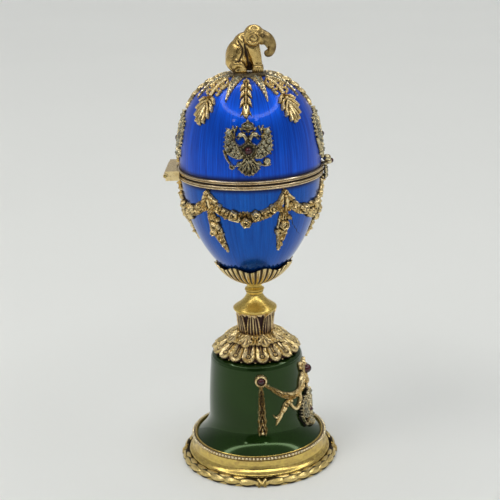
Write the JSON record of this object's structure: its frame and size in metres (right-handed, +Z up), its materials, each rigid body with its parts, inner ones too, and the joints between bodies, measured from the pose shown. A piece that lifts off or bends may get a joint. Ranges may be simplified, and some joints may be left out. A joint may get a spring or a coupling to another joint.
{
  "type": "jewelled egg on stand",
  "caption": "Hinged enamelled egg with gilt mounts and a seated elephant finial, carried by a fluted calyx, turned stem, petalled collar and green stone bell on a laurel foot.",
  "frame": {"origin": "centre of the underside of the round foot", "axes": "+Z up; +X towards the clasp, the way the elephant faces; the hinge is on -X"},
  "size_m": [0.0745, 0.0734, 0.2002],
  "materials": {
    "blue_enamel": "translucent enamel over engine-turned silver, gilt inside",
    "gilt": "antique gilt, chased, dark in the recesses",
    "polished_gold": "polished gilt",
    "silver_gilt": "worn silver-gilt, dark in the recesses",
    "nephrite": "polished dark green stone",
    "ruby": "polished cabochon",
    "pale_stone": "grey-green cut stones with one dark red cabochon"
  },
  "bodies": {
    "stand": {"bowl_shell": "blue_enamel", "bowl_rim": "gilt", "bowl_hinge_leaf": "gilt", "hinge_pin": "gilt", "flower_swag_1": "gilt", "bow_drop_1": "gilt", "flower_swag_2": "gilt", "bow_drop_2": "gilt", "flower_swag_3": "gilt", "bow_drop_3": "gilt", "flower_swag_4": "gilt", "bow_drop_4": "gilt", "flower_swag_5": "gilt", "bow_drop_5": "gilt", "flower_swag_6": "gilt", "bow_drop_6": "gilt", "calyx": "polished_gold", "stem": "polished_gold", "palm_drum": "gilt", "petal_collar": "gilt", "nephrite_bell": "nephrite", "bell_bow": "gilt", "bell_cabochon": "ruby", "bell_eagle": "silver_gilt", "bell_eagle_stone": "pale_stone", "bell_swag_1": "gilt", "ruby_collet_1": "gilt", "ruby_1": "ruby", "laurel_drop_1": "gilt", "bell_swag_2": "gilt", "ruby_collet_2": "gilt", "ruby_2": "ruby", "laurel_drop_2": "gilt", "foot": "gilt", "bead_border": "gilt", "laurel_border": "gilt"},
    "lid": {"lid_shell": "blue_enamel", "lid_rim": "gilt", "lid_hinge_leaf": "gilt", "crown_star": "gilt", "elephant": "gilt", "clasp_flower": "silver_gilt", "clasp_stud": "gilt", "husk_drop_1": "gilt", "eagle_1": "silver_gilt", "eagle_stone_1": "pale_stone", "husk_drop_2": "gilt", "eagle_2": "silver_gilt", "eagle_stone_2": "pale_stone", "husk_drop_3": "gilt", "eagle_3": "silver_gilt", "eagle_stone_3": "pale_stone", "husk_drop_4": "gilt", "eagle_4": "silver_gilt", "eagle_stone_4": "pale_stone", "acanthus_1": "gilt", "acanthus_2": "gilt", "acanthus_3": "gilt", "acanthus_4": "gilt"}
  },
  "joints": [
    {"name": "lid_hinge", "type": "hinge", "parent": "stand", "child": "lid", "pos_m": [-0.0367, 0, 0.137], "axis": [0, -1, 0], "range_deg": [0, 95]}
  ]
}
